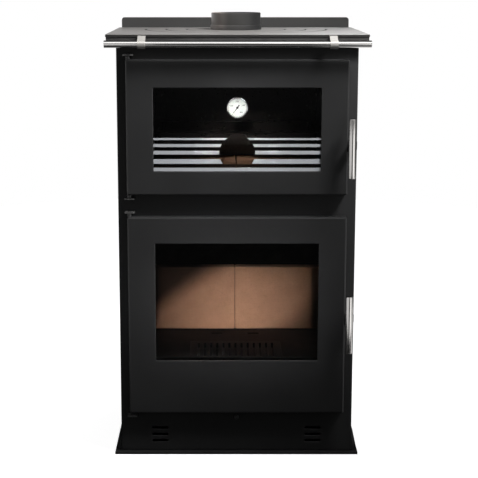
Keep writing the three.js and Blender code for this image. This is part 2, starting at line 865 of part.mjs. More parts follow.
// Doors, each drawn from its own lower edge, with zero on Y at the front plate

const lipBack = doorBack - lipSetback;
const lipFront = lipBack - lipSheet;
const glassFront = doorFront + doorSheet + seatGap;
const glassBack = glassFront + glassThickness;
const hingeX = -doorWidth / 2 + hingeFromEdge;
const gripX = -gripFromPin;
const gripY = leverPinDepth - gripFromFront;

// The span of a window grown by a margin on every side.
function grown(door, margin) {
  const bottom = door.windowBottom - door.bottom;
  return [
    about(0, door.windowWidth + 2 * margin),
    [bottom - margin, bottom + door.windowHeight + margin],
  ];
}

function hingeBore(z) {
  return bar("z", hingePinDiameter + 2 * pinGap, z, [hingeX, -hingeDepth], smallSides);
}

// A pressed pan with a window, a back lip for the gasket, hinge sleeves and two lugs for the handle's pin.
function doorPanel(door) {
  const half = doorWidth / 2;
  const shell = cut(
    standingPlate([-half, half], [doorFront, doorBack], [0, door.height], doorCorner, doorEdgeRound),
    block(about(0, doorWidth - 2 * doorSheet), [doorFront + doorSheet, cutOverrun], [doorSheet, door.height - doorSheet]),
  );
  const [openX, openZ] = grown(door, glassOverlap + lipMargin);
  const lip = cut(
    block(about(0, doorWidth - doorSheet), [lipFront, lipBack], [doorSheet / 2, door.height - doorSheet / 2]),
    block(openX, [lipFront - cutOverrun, lipBack + cutOverrun], openZ),
  );
  const [seeX, seeZ] = grown(door, 0);
  const see = standingPlate(seeX, [doorFront - cutOverrun, doorFront + 2 * doorSheet], seeZ, windowCorner);
  const sleeves = [
    [-hingeSleeveHeight, hingePinReach],
    [door.height - hingePinReach, door.height + hingeSleeveHeight],
  ].map((z) => bar("z", hingeSleeveDiameter, z, [hingeX, -hingeDepth], smallSides));
  const bores = [
    [-hingeSleeveHeight - cutOverrun, hingePinReach + cutOverrun],
    [door.height - hingePinReach - cutOverrun, door.height + hingeSleeveHeight + cutOverrun],
  ].map(hingeBore);
  const middle = door.gripCentre - door.bottom;
  const lugStart = leverHeight / 2 + seatGap;
  const lugs = [-1, 1].map((side) => {
    const z = about(middle + side * (lugStart + lugThickness / 2), lugThickness);
    return join(
      block([half - doorSheet / 2, leverPinOffset], about(-leverPinDepth, leverEye), z),
      bar("z", leverEye, z, [leverPinOffset, -leverPinDepth], smallSides),
    );
  });
  const pinHole = bar(
    "z",
    leverPinDiameter + 2 * seatGap,
    about(middle, leverHeight + 2 * lugThickness + 2 * cutOverrun),
    [leverPinOffset, -leverPinDepth],
    smallSides,
  );
  return cut(join(shell, lip, ...sleeves, ...lugs), see, ...bores, pinHole);
}

function doorGlass(door) {
  const [x, z] = grown(door, glassOverlap);
  const whole = standingPlate(x, [glassFront, glassBack], z, windowCorner);
  if (!door.hasThermometer) return whole;
  const hole = [glassFront - cutOverrun, glassBack + cutOverrun];
  return cut(whole, bar("y", stemDiameter + 2 * seatGap, hole, [0, dialCentre - door.bottom], smallSides));
}

function glassClamp(door) {
  const [x, z] = grown(door, glassOverlap);
  const [innerX, innerZ] = grown(door, clampMargin);
  const y = [glassBack + seatGap, glassBack + seatGap + clampSheet];
  return cut(block(x, y, z), block(innerX, [y[0] - cutOverrun, y[1] + cutOverrun], innerZ));
}

function doorGasket(door) {
  const ring = (inset, y) => {
    const x = about(0, doorWidth - 2 * inset);
    return standingPlate(x, y, [inset, door.height - inset], gasketWidth, 0);
  };
  const y = [lipBack + seatGap, -seatGap];
  const past = [y[0] - cutOverrun, y[1] + cutOverrun];
  return cut(ring(gasketInset, y), ring(gasketInset + gasketWidth, past));
}

// A plate on the front plate with an upright pin that enters the door's sleeve.
function hingeBracket(door, atTop) {
  const edge = atTop ? door.height + hingeSleeveHeight : -hingeSleeveHeight;
  const way = atTop ? 1 : -1;
  const near = edge + way * seatGap;
  const far = near + way * hingePlateThickness;
  const tip = edge - way * (hingeSleeveHeight + hingePinReach / 2);
  const span = (a, b) => [Math.min(a, b), Math.max(a, b)];
  const x = about(hingeX, hingePlateWidth);
  const y = [-hingeDepth - hingeSleeveDiameter / 2, -seatGap];
  const plate = lyingPlate(x, y, span(near, far), hingePlateThickness);
  const pin = bar("z", hingePinDiameter, span(tip, far), [hingeX, -hingeDepth], smallSides);
  return join(plate, pin);
}

function leverPin(door) {
  const z = about(door.gripCentre - door.bottom, leverHeight + 2 * lugThickness);
  return bar("z", leverPinDiameter, z, [leverPinOffset, -leverPinDepth], smallSides);
}

// An eye on the pin, an arm forward to the grip and a hook back to the keeper; zero is at the pin.
function handleLever() {
  const z = about(0, leverHeight);
  const stem = about(-hookStemOffset, hookStemWidth);
  const body = join(
    bar("z", leverEye, z, [0, 0], smallSides),
    block(about(-leverArmOffset, leverArmWidth), [gripY + gripDiameter / 4, 0], z),
    block(stem, [0, hookReach], z),
    block([stem[0], stem[0] + hookWidth], [hookReach - hookThickness, hookReach], z),
  );
  const long = about(0, leverHeight + 2 * cutOverrun);
  return cut(
    body,
    bar("z", leverPinDiameter + 2 * pinGap, long, [0, 0], smallSides),
    bar("z", gripDiameter + 2 * seatGap, long, [gripX, gripY]),
  );
}

function handleGrip() {
  return bar("z", gripDiameter, about(0, gripLength), [gripX, gripY]);
}

// An angle screwed to the front plate, whose lip stands in front of the hook.
function latchKeeper(door) {
  const z = about(door.gripCentre - door.bottom, keeperLength);
  const hookEdge = leverPinOffset - hookStemOffset - hookStemWidth / 2 + hookWidth;
  const lipX = [hookEdge + keeperHookGap, hookEdge + keeperHookGap + keeperWidth];
  const lipY = -leverPinDepth + hookReach - hookThickness - keeperLipGap;
  const wall = [lipX[1] - keeperSheet, lipX[1]];
  return join(
    block(lipX, [lipY - keeperSheet, lipY], z),
    block(wall, [lipY - keeperSheet, -seatGap], z),
    block([wall[0], wall[0] + keeperFootWidth], [-seatGap - keeperFootSheet, -seatGap], z),
  );
}

// Thermometer, drawn round its own middle, with the same zero on Y as the door

const caseFront = glassFront - seatGap - caseDepth;
const caseFloor = glassFront - seatGap - caseBack;
const dialBack = caseFloor - seatGap;
const dialFront = dialBack - dialThickness;
const needleBack = dialFront - dialStandoff / 2;
const lensFront = caseFront + lensSetback;

function thermometerCase() {
  const back = glassFront - seatGap;
  const nut = [glassBack + seatGap, glassBack + seatGap + nutThickness];
  return cut(
    join(
      bar("y", caseDiameter, [caseFront, back], [0, 0]),
      bar("y", stemDiameter, [back - caseBack / 2, back + stemReach], [0, 0], smallSides),
      bar("y", nutDiameter, nut, [0, 0], nutSides),
    ),
    bar("y", caseDiameter - 2 * caseWall, [caseFront - cutOverrun, caseFloor], [0, 0]),
  );
}

function thermometerDial() {
  const disc = bar("y", caseDiameter - 2 * caseWall - 2 * seatGap, [dialFront, dialBack], [0, 0]);
  const hole = [dialFront - cutOverrun, dialBack + cutOverrun];
  return cut(disc, bar("y", needlePin + 2 * pinGap, hole, [0, 0], smallSides));
}

// A pointed strip with a hub and a pin, turned to its cold end.
function thermometerNeedle() {
  const y = [needleBack - needleThickness, needleBack];
  const outline = [
    [-needleWidth / 2, needleTail],
    [-needleWidth / 2, 0],
    [0, -needleLength],
    [needleWidth / 2, 0],
    [needleWidth / 2, needleTail],
  ];
  const turn = THREE.MathUtils.degToRad(-needleRestAngle);
  const turnedOutline = outline.map(([x, z]) => [
    x * Math.cos(turn) - z * Math.sin(turn),
    x * Math.sin(turn) + z * Math.cos(turn),
  ]);
  return join(
    deepPrism(turnedOutline, y),
    bar("y", needleHub, [y[0] - needleThickness, y[1]], [0, 0], smallSides),
    bar("y", needlePin, [y[1] - needleThickness, caseFloor - seatGap], [0, 0], smallSides),
  );
}

function thermometerLens() {
  const y = [lensFront, lensFront + lensThickness];
  return bar("y", caseDiameter - 2 * caseWall - 2 * seatGap, y, [0, 0]);
}

// Puts a door together at its place on the body.
function hungDoor(door) {
  const group = new THREE.Group();
  const name = (part) => `${door.name}_${part}`;
  group.position.set(0, bodyFront, door.bottom);
  group.add(piece(name("door_panel"), doorPanel(door), doorPaint));
  group.add(piece(name("door_glass"), doorGlass(door), darkGlass));
  group.add(piece(name("glass_clamp"), glassClamp(door), bareSteel));
  group.add(piece(name("door_gasket"), doorGasket(door), ropeGrey));
  group.add(piece(name("hinge_top"), hingeBracket(door, true), blackPaint));
  group.add(piece(name("hinge_bottom"), hingeBracket(door, false), blackPaint));
  group.add(piece(name("latch_keeper"), latchKeeper(door), blackPaint));
  group.add(piece(name("handle_pin"), leverPin(door), bareSteel));
  const handle = new THREE.Group();
  handle.position.set(leverPinOffset, -leverPinDepth, door.gripCentre - door.bottom);
  handle.add(piece(name("handle_lever"), handleLever(), blackPaint));
  handle.add(piece(name("handle_grip"), handleGrip(), stainless));
  group.add(handle);
  if (!door.hasThermometer) return group;
  const thermometer = new THREE.Group();
  thermometer.position.set(0, 0, dialCentre - door.bottom);
  thermometer.add(piece("thermometer_case", thermometerCase(), stainless));
  thermometer.add(piece("thermometer_dial", thermometerDial(), dialWhite));
  thermometer.add(piece("thermometer_needle", thermometerNeedle(), needleBlack));
  thermometer.add(piece("thermometer_lens", thermometerLens(), darkGlass));
  group.add(thermometer);
  return group;
}

const ovenDoor = hungDoor({
  name: "oven",
  bottom: ovenDoorBottom,
  height: ovenDoorHeight,
  windowWidth: ovenWindowWidth,
  windowHeight: ovenWindowHeight,
  windowBottom: ovenWindowBottom,
  gripCentre: ovenGripCentre,
  hasThermometer: true,
});

const fireDoor = hungDoor({
  name: "fire",
  bottom: fireDoorBottom,
  height: fireDoorHeight,
  windowWidth: fireWindowWidth,
  windowHeight: fireWindowHeight,
  windowBottom: fireWindowBottom,
  gripCentre: fireGripCentre,
  hasThermometer: false,
});

const stove = new THREE.Group();
stove.add(body, hob, ashPan, airControl, tray, ovenDoor, fireDoor);

export default stove;
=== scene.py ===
import math

import bmesh
import bpy
from mathutils import Matrix, Vector


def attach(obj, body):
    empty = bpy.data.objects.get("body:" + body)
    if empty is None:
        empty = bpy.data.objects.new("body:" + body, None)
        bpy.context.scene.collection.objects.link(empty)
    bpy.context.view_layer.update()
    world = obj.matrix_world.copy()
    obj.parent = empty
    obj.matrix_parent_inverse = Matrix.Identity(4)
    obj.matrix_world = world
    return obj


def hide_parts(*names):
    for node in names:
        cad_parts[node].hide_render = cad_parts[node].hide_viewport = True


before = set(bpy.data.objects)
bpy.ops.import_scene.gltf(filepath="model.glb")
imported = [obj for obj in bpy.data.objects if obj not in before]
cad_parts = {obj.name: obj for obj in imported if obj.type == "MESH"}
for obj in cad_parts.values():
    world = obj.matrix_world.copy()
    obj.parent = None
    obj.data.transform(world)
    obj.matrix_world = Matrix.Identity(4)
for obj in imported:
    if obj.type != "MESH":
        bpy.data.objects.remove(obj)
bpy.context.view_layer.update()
scene = bpy.context.scene

# Studio
# A pale round floor and a white surround, with soft lamps. The camera meets both as white, through glass too;
# paint and steel mirror them weaker, with bright panels of their own, so that black stays black.


class Field:
    """A value or colour that varies over a surface. An expression on fields adds the nodes for it."""

    def __init__(self, finish, socket):
        self.finish, self.socket = finish, socket

    def sum(self, operation, *values):
        return self.finish.node("ShaderNodeMath", {"operation": operation}, dict(enumerate(values)))

    def __add__(self, other):
        return self.sum("ADD", self, other)

    def __sub__(self, other):
        return self.sum("SUBTRACT", self, other)

    def __rsub__(self, other):
        return self.sum("SUBTRACT", other, self)

    def __mul__(self, other):
        return self.sum("MULTIPLY", self, other)

    def __truediv__(self, other):
        return self.sum("DIVIDE", self, other)

    def __pow__(self, other):
        return self.sum("POWER", self, other)

    def __gt__(self, other):
        return self.sum("GREATER_THAN", self, other)

    def __lt__(self, other):
        return self.sum("LESS_THAN", self, other)

    def step(self, low, high):
        """0 below low, 1 above high and a smooth rise between them."""
        settings = {"interpolation_type": "SMOOTHSTEP"}
        return self.finish.node("ShaderNodeMapRange", settings, {0: self, 1: low, 2: high, 3: 0.0, 4: 1.0})

    __radd__ = __add__
    __rmul__ = __mul__


class Finish:
    """A surface finish. node() adds a node from its type, its settings and its sockets' values or links."""

    def __init__(self, name, tree=None):
        if tree is None:
            self.material = bpy.data.materials.new(name)
            self.material.use_nodes = True
            tree = self.material.node_tree
        self.tree = tree
        self.shader = tree.nodes.get("Principled BSDF") or tree.nodes.get("Background")

    def node(self, kind, settings=None, sockets=None, out=0):
        new = self.tree.nodes.new(kind)
        for key, value in (settings or {}).items():
            setattr(new, key, value)
        for key, value in (sockets or {}).items():
            self.feed(new.inputs[key], value)
        return Field(self, new.outputs[out])

    def feed(self, socket, value):
        if isinstance(value, Field):
            self.tree.links.new(value.socket, socket)
        else:
            socket.default_value = value

    def surface(self, **values):
        """Sets the main shader: base_color=..., roughness=... and so on."""
        for key, value in values.items():
            self.feed(self.shader.inputs[key.replace("_", " ").title().replace("Ior", "IOR")], value)
        return self

    def place(self):
        return self.node("ShaderNodeTexCoord", out="Object")

    def along(self, axes):
        """The place along each of the named axes, in metres."""
        return [self.node("ShaderNodeSeparateXYZ", None, {"Vector": self.place()}, out=axis) for axis in axes]

    def rays(self, *kinds):
        """For each kind of ray, 1 where it is the one that meets the surface."""
        return [self.node("ShaderNodeLightPath", out=f"Is {kind} Ray") for kind in kinds]

    def stretched(self, *scale):
        return self.node("ShaderNodeMapping", None, {"Vector": self.place(), "Scale": scale})

    def noise(self, scale, detail=3.0, roughness=0.5, where=None):
        sockets = {"Vector": where or self.place(), "Scale": scale, "Detail": detail, "Roughness": roughness}
        return self.node("ShaderNodeTexNoise", None, sockets)

    def blend(self, factor, first, second):
        """The first colour where the factor is 0, the second where it is 1."""
        return self.node("ShaderNodeMix", {"data_type": "RGBA"}, {0: factor, 6: first, 7: second}, out=2)

    def bump(self, height, depth, strength=1.0):
        return self.node("ShaderNodeBump", None, {"Height": height, "Distance": depth, "Strength": strength})


black, white = (0, 0, 0, 1), (1, 1, 1, 1)
floor_radius, floor_middle, floor_drop = 2.2, 1.25, 0.0004
floor_mesh = bpy.data.meshes.new("studio_floor")
shape = bmesh.new()
bmesh.ops.create_circle(shape, cap_ends=True, segments=96, radius=floor_radius)
bmesh.ops.translate(shape, vec=(0, floor_middle, -floor_drop), verts=shape.verts)
shape.to_mesh(floor_mesh)
shape.free()
floor = bpy.data.objects.new("studio_floor", floor_mesh)
scene.collection.objects.link(floor)

floor_finish = Finish("studio_floor")
by_camera, by_glass, by_gloss = floor_finish.rays("Camera", "Transmission", "Glossy")
seen = by_camera.sum("MAXIMUM", by_camera, by_glass)
floor_place = {0: floor_finish.place()}
reach = floor_finish.node("ShaderNodeVectorMath", {"operation": "LENGTH"}, floor_place, out="Value")
floor_glow = reach.step(0.3, 0.9) * 0.12 + 0.88
floor_x, floor_y = floor_finish.along("XY")
beside = floor_x.step(0.32, 0.42) * floor_y.step(-0.4, -0.3)
mirrored_glow = beside * 0.7 + floor_y.step(0.3, 0.7) * 0.5
unseen_floor = floor_finish.blend(by_gloss, (0.2, 0.2, 0.2, 1), (0.03, 0.03, 0.03, 1))
floor_finish.surface(
    base_color=floor_finish.blend(seen, unseen_floor, (0.75, 0.75, 0.75, 1)),
    emission_color=floor_finish.blend(seen * floor_glow + by_gloss * mirrored_glow, black, white),
    emission_strength=1.0, roughness=0.9, specular_ior_level=0.1,
)
floor_mesh.materials.append(floor_finish.material)

# Across, along and upward are how far a ray heads towards +X, +Y and +Z. The strip gives the rail its thin
# white line, and the low panels give the handle grips their bright sides.
world = bpy.data.worlds.new("studio_surround")
scene.world = world
world.use_nodes = True
surround = Finish("studio_surround", world.node_tree)
by_camera, by_gloss, by_glass = surround.rays("Camera", "Glossy", "Transmission")
shown = by_camera.sum("MAXIMUM", by_camera, by_glass)
aim = surround.node("ShaderNodeTexCoord", out="Generated")
across, along, upward = [surround.node("ShaderNodeSeparateXYZ", None, {"Vector": aim}, out=n) for n in "XYZ"]
to_left = (across * -1.0).step(0.2, 0.3)
behind = along.step(-0.1, 0.4) * (1.0 - upward.step(0.1, 0.35)) * (0.6 - across.step(0.0, 0.5) * 0.5)
panels = across.step(0.2, 0.5) * (1.0 - across.step(0.94, 0.98)) * 1.4 + to_left * 0.75
low_panels = panels * upward.step(-0.45, -0.35) * (1.0 - upward.step(0.0, 0.1))
strip = upward.step(0.5, 0.56) * (1.0 - upward.step(0.84, 0.9)) * (0.7 + across.step(0.0, 0.12) * 0.6) * 2.2
near_floor = (1.0 - upward.step(-0.62, -0.5)) * (0.22 - across.step(-0.1, 0.1) * 0.1)
above_horizon = upward.step(-0.1, 0.1) * 0.18
in_front = (1.0 - along.step(-0.1, 0.1)) * (low_panels + near_floor + above_horizon + strip)
overhead = upward.step(0.9, 0.96) * 0.2
mirrored = behind * (to_left + 1.0) + in_front.sum("MAXIMUM", in_front, overhead) + 0.03
fill_light = 0.08
unseen = by_gloss * (mirrored - fill_light) + fill_light
surround.surface(color=white, strength=shown.sum("MAXIMUM", shown, unseen))


def soft_lamp(name, place, towards, size, watts, spread=180):
    """Hangs a rectangular lamp at a place in metres, its beam spread by an angle. Steel doesn't mirror it."""
    lamp = bpy.data.lights.new(name, "AREA")
    lamp.shape, lamp.size, lamp.size_y, lamp.energy = "RECTANGLE", size[0], size[1], watts
    lamp.spread = math.radians(spread)
    holder = bpy.data.objects.new(name, lamp)
    holder.location = place
    holder.rotation_euler = (Vector(towards) - Vector(place)).to_track_quat("-Z", "Y").to_euler()
    holder.visible_glossy = False
    scene.collection.objects.link(holder)


soft_lamp("lamp_over", place=(0.1, 0.5, 2.6), towards=(0, 0, 0.9), size=(2.2, 1.0), watts=14)
soft_lamp("lamp_key", place=(0.95, -0.88, 2.2), towards=(0.15, -0.25, 1.15), size=(0.5, 0.5),
          watts=5.8, spread=40)
soft_lamp("lamp_left", place=(-2.4, -1.6, 1.6), towards=(0, 0, 0.7), size=(1.2, 1.6), watts=4)
soft_lamp("lamp_front", place=(0.0, -3.3, 1.5), towards=(-0.01, 0.16, 0.24), size=(0.3, 0.2),
          watts=0.29, spread=6.4)
soft_lamp("lamp_dial", place=(-0.2, -3.3, 1.6), towards=(0, -0.2, 0.765), size=(0.12, 0.1),
          watts=0.1, spread=3.4)

# Camera
# It stands 2.9 m before the stove, a little left of its middle and above the hob, and looks down on it. The
# small shift only places the stove in the frame.
picture_width, focal_length_in_pixels, degrees_down = 478, 1304.3, 10.891
view = bpy.data.cameras.new("camera")
view.sensor_width = 36
view.lens = focal_length_in_pixels / picture_width * view.sensor_width
view.shift_x, view.shift_y = 0.0409, -0.02
camera = bpy.data.objects.new("camera", view)
camera.location = (-0.0395, -3.1, 1.09)
camera.rotation_euler = (math.radians(90 - degrees_down), 0, 0)
scene.collection.objects.link(camera)
scene.camera = camera
scene.view_settings.view_transform = "Standard"

# Body panels
# Folded sheet steel: base plate, skirts, sides and back, with the latch keepers and the handle levers. Matt
# black heat-resistant paint is sprayed and baked on them, with a very fine orange peel.


def dress(finish, *nodes):
    """Gives solids of the frame a finish."""
    for node in nodes:
        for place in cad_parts[node].material_slots:
            place.material = finish.material


def sprayed(name, roughness, eased=0.002):
    """A satin coat, still without colour; the edges under it look eased by a radius in metres."""
    coat = Finish(name)
    grain = coat.noise(900.0, 2.0)
    edges = coat.node("ShaderNodeBevel", {"samples": 6}, {"Radius": eased})
    peel = {"Height": grain, "Distance": 0.00012, "Strength": 0.4, "Normal": edges}
    return coat.surface(
        roughness=coat.noise(9.0, 4.0) * 0.12 + grain * 0.06 + (roughness - 0.09),
        normal=coat.node("ShaderNodeBump", None, peel),
        specular_ior_level=0.4,
    )


def paint(name, colour, roughness, eased=0.002):
    """A sprayed paint of one colour, with faint clouds in it."""
    coat = sprayed(name, roughness, eased)
    darker, paler = [[part * share for part in colour] + [1] for share in (0.82, 1.18)]
    return coat.surface(base_color=coat.blend(coat.noise(9.0, 4.0), darker, paler))


body_black, body_roughness, body_shine = (0.018, 0.018, 0.0183), 0.36, 0.26
body_paint = paint("black_paint", body_black, body_roughness).surface(specular_ior_level=body_shine)
dress(body_paint, "base_plate", "side_skirt_left", "side_skirt_right", "side_panel_left", "side_panel_right",
      "back_panel", "oven_latch_keeper", "fire_latch_keeper", "oven_handle_lever", "fire_handle_lever")

# Front plate
# One cut sheet in the same paint. Painted light makes it paler beside the handles, where light falls from the
# right, and painted shade darkens it under the hob and beside the upper hinge.
front_paint = sprayed("front_paint", body_roughness)
east, height = front_paint.along("XZ")
# Painted light: paler right of the doors; painted shade at the upper left and under the hob.
lit_right_side = east.step(0.2, 0.25)
shade_by_hinge = (east * -1.0).step(0.2, 0.25) * height.step(0.7, 0.85)
shadow_under_hob = height.step(0.9, 0.925) * 0.9
painted_light_right = front_paint.blend(lit_right_side, (*body_black, 1), (0.036, 0.036, 0.0363, 1))
lit_and_shaded = front_paint.blend(shade_by_hinge, painted_light_right, (0.008, 0.008, 0.0082, 1))
front_paint.surface(base_color=front_paint.blend(shadow_under_hob, lit_and_shaded, (0.004, 0.004, 0.004, 1)),
                    specular_ior_level=body_shine)
dress(front_paint, "front_plate")

# Back panel screws
# Black dome-headed screws hold the back panel to the body. Five go down each side, and three down each of
# three lines between them.
screw_paint = Finish("screw_black")
screw_paint.surface(base_color=(0.03, 0.03, 0.03, 1), metallic=0.4,
                    roughness=screw_paint.noise(700.0) * 0.15 + 0.32, specular_ior_level=0.4)


def made(name, shape, finish, body, stands_for=()):
    """Makes a piece from a shape in millimetres, smooth over its soft edges, in a finish and on a body."""
    bmesh.ops.scale(shape, vec=(0.001, 0.001, 0.001), verts=shape.verts)
    mesh = bpy.data.meshes.new(name)
    shape.to_mesh(mesh)
    shape.free()
    mesh.polygons.foreach_set("use_smooth", [True] * len(mesh.polygons))
    mesh.set_sharp_from_angle(angle=math.radians(35))
    mesh.materials.append(finish.material)
    piece = bpy.data.objects.new(name, mesh)
    scene.collection.objects.link(piece)
    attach(piece, body)
    if stands_for:
        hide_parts(*stands_for)
    return piece


def screw(shape, at, towards, radius, height):
    """Adds a round head, sitting at a point and facing a way."""
    at, towards = Vector(at), Vector(towards)
    before = set(shape.verts)
    bmesh.ops.create_uvsphere(shape, u_segments=16, v_segments=12, radius=radius)
    new = [v for v in shape.verts if v not in before]
    gone = [v for v in new if v.co.z < -0.001]
    bmesh.ops.delete(shape, geom=gone, context="VERTS")
    new = [v for v in shape.verts if v not in before]
    rim = [e for e in {e for v in new for e in v.link_edges} if len(e.link_faces) == 1]
    bmesh.ops.edgeloop_fill(shape, edges=rim)
    bmesh.ops.scale(shape, vec=(1, 1, height / radius), verts=new)
    turn = towards.to_track_quat("Z", "Y").to_matrix().to_4x4()
    bmesh.ops.transform(shape, matrix=Matrix.Translation(at) @ turn, verts=new)


panel_back, back_screw = 200, (4, 2.2)
side_screws = [(x, z) for z in (75, 290, 505, 720, 930) for x in (-259, 259)]
middle_screws = [(x, z) for x in (-150, 0, 150) for z in (25, 590, 940)]
shape = bmesh.new()
for x, z in side_screws + middle_screws:
    screw(shape, (x, panel_back, z), (0, 1, 0), *back_screw)
made("back_panel_screws", shape, screw_paint, "stove")

# Doors
# Pressed steel pans in satin black paint, a shade lighter than the body, their edges rolled over a wider
# radius. Each is given here by its name and its lower and upper edges in millimetres.
doors = (("oven", 615, 915), ("fire", 106, 564))
door_paint = paint("door_paint", (0.0225, 0.0225, 0.0228), 0.31, eased=0.004)
dress(door_paint, "oven_door_panel", "fire_door_panel")

# Hinge brackets
# Painted steel plates welded to the front plate, rubbed to grey steel where the doors turn on them. The pins'
# domed heads stand on the upper plate and hang under the lower one.
hinge_steel = Finish("hinge_steel")
rubbed = hinge_steel.noise(160.0, 4.0, 0.6).step(0.35, 0.6)
hinge_steel.surface(base_color=hinge_steel.blend(rubbed, (0.03, 0.03, 0.03, 1), (0.14, 0.138, 0.136, 1)),
                    roughness=rubbed * -0.1 + 0.42, metallic=rubbed * 0.7)
dress(hinge_steel, "oven_hinge_top", "oven_hinge_bottom", "fire_hinge_top", "fire_hinge_bottom")
pin_x, pin_y, head_gap, pin_head = -241, -216, 11.05, (4.2, 1.8)
for door, low, high in doors:
    shape = bmesh.new()
    for z, way in ((low - head_gap, -1), (high + head_gap, 1)):
        screw(shape, (pin_x, pin_y, z), (0, 0, way), *pin_head)
    made(f"{door}_hinge_pin_heads", shape, screw_paint, "stove")

# Bare steel fittings
# Rolled steel with a blue-black mill scale, lighter in patches and filmed with soot: hob frame, ash pan and
# its bail, air slide, glass clamps and handle pins.
mill_steel = Finish("bare_steel")
scale_patches = mill_steel.noise(22.0, 6.0, 0.6)
lighter = scale_patches.step(0.35, 0.7)
mill_steel.surface(
    base_color=mill_steel.blend(lighter, (0.035, 0.034, 0.034, 1), (0.085, 0.082, 0.08, 1)),
    roughness=scale_patches * 0.25 + 0.42,
    metallic=scale_patches.step(0.4, 0.8) * 0.6,
    normal=mill_steel.bump(mill_steel.noise(420.0, 3.0), 0.0002, 0.5),
)
dress(mill_steel, "hob_frame", "ash_pan", "ash_pan_bail", "air_slide", "oven_glass_clamp", "fire_glass_clamp",
      "oven_handle_pin", "fire_handle_pin")

# Firebox
# Shell, floor, smoke baffle and log retainer are folded from the same steel. The retainer keeps logs and
# embers off the door. Soot has dulled and darkened them all.
sooty = Finish("sooted_steel")
soot = sooty.noise(14.0, 6.0, 0.65)
sooty.surface(
    base_color=sooty.blend(soot.step(0.4, 0.75), (0.006, 0.0056, 0.0054, 1), (0.02, 0.0185, 0.0175, 1)),
    roughness=soot * 0.2 + 0.62,
    normal=sooty.bump(sooty.noise(300.0, 4.0), 0.0003, 0.5),
    specular_ior_level=0.2,
)
dress(sooty, "firebox_shell", "fire_floor", "log_retainer", "smoke_baffle")

# Grate and side liners
# Grey iron cast in sand and blackened, with the sand's grain left on it. The grate hangs by its flange in the
# opening of the firebox floor, and the liners stand loose against the side walls.
cast = Finish("cast_iron")
sand = cast.noise(260.0, 5.0, 0.7)
cast.surface(
    base_color=cast.blend(sand, (0.005, 0.0048, 0.0046, 1), (0.014, 0.0136, 0.0132, 1)),
    roughness=sand * 0.2 + 0.66,
    normal=cast.bump(sand, 0.0006, 0.7),
    metallic=0.3,
)
dress(cast, "fire_grate", "side_liner_left", "side_liner_right")

# Firebricks and oven tiles
# Pressed fireclay, warm brown with darker grog, laid in pairs. Painted shade darkens the bricks away from a
# lit middle and at their upper left and lower right. The oven tiles are darker at their front.
clay = Finish("firebrick")
speckle = clay.node("ShaderNodeTexVoronoi", None, {"Vector": clay.place(), "Scale": 420.0})
mottle = clay.noise(35.0, 5.0, 0.6)
bare_clay = clay.blend(mottle, (0.46, 0.244, 0.143, 1), (0.66, 0.368, 0.224, 1))
grog = clay.blend(speckle.step(0.08, 0.3), (0.22, 0.12, 0.075, 1), bare_clay)
east, depth, height = clay.along("XYZ")
on_tiles = height.step(0.4, 0.45)
on_bricks = 1.0 - on_tiles
# Painted light: a lit middle on the bricks, with painted shade away from it and at two corners.
lit_middle_x, lit_middle_z = 0.035, 0.25
from_lit_middle = ((east - lit_middle_x) ** 2.0 + (height - lit_middle_z) ** 2.0 * 0.5) ** 0.5
painted_falloff = from_lit_middle.step(0.0, 0.2) * (0.4 - on_tiles * 0.1)
drift = clay.noise(9.0, 4.0) * 0.8 - 0.4
shade_upper_left = ((height - 0.315) / 0.05 - (east + 0.11) / 0.07 + drift).step(-0.7, 0.9)
shade_lower_right = ((0.235 - height) / 0.045 + (east - 0.13) / 0.05 + drift).step(-0.6, 1.6) * 0.75
tile_front = (1.0 - (depth + drift * 0.02).step(-0.06, -0.04)) * (1.0 - on_bricks)
shade_and_tile_front = shade_upper_left.sum("MAXIMUM", shade_upper_left, shade_lower_right) * on_bricks * 0.94 + tile_front * 0.9
clay_and_falloff = clay.blend(painted_falloff, grog, (0.14, 0.072, 0.041, 1))
clay.surface(
    base_color=clay.blend(shade_and_tile_front, clay_and_falloff, (0.016, 0.012, 0.01, 1)),
    roughness=0.92,
    normal=clay.bump(clay.noise(520.0, 4.0, 0.7) + mottle * 0.8, 0.0007, 0.8),
    specular_ior_level=0.2,
)
dress(clay, "back_brick_left", "back_brick_right", "oven_tile_left", "oven_tile_right")

# Oven lining and tray
# Pressed sheet under near-black vitreous enamel, with a faint orange peel. The tray's rim slides on a runner,
# an angle strip, on each wall of the oven.
enamel = Finish("oven_enamel")
peel = enamel.noise(140.0, 2.0)
enamel.surface(
    base_color=enamel.blend(peel, (0.007, 0.006, 0.005, 1), (0.014, 0.011, 0.009, 1)),
    roughness=peel * 0.1 + 0.24,
    normal=enamel.bump(peel, 0.0002, 0.4),
)
dress(enamel, "oven_liner", "tray_runner_left", "tray_runner_right", "baking_tray")

# Hob plate
# Ground steel plate, blued to a soft grey, with fine scratches along it; a painted reflection pales it
# towards the right. Painted shade darkens the grooves cut round the collar and their ends, the plate's edges
# and its underside.
collar_y = 68
groove_radii = (0.118, 0.167, 0.216)
free_front = 0.117  # squared sine of the 20 degrees that the grooves leave free on each side of the middle
hob_steel = Finish("hob_steel")
brushed = hob_steel.noise(60.0, 4.0, 0.6, hob_steel.stretched(1.0, 26.0, 26.0))
tarnish = hob_steel.noise(7.0, 3.0)
hob_x, hob_y, hob_z = hob_steel.along("XYZ")
hob_y = hob_y - collar_y / 1000
around = (hob_x * hob_x + hob_y * hob_y) ** 0.5
before_collar = (hob_x * hob_x - around * around * free_front > 0.0) * (hob_y < 0.0)
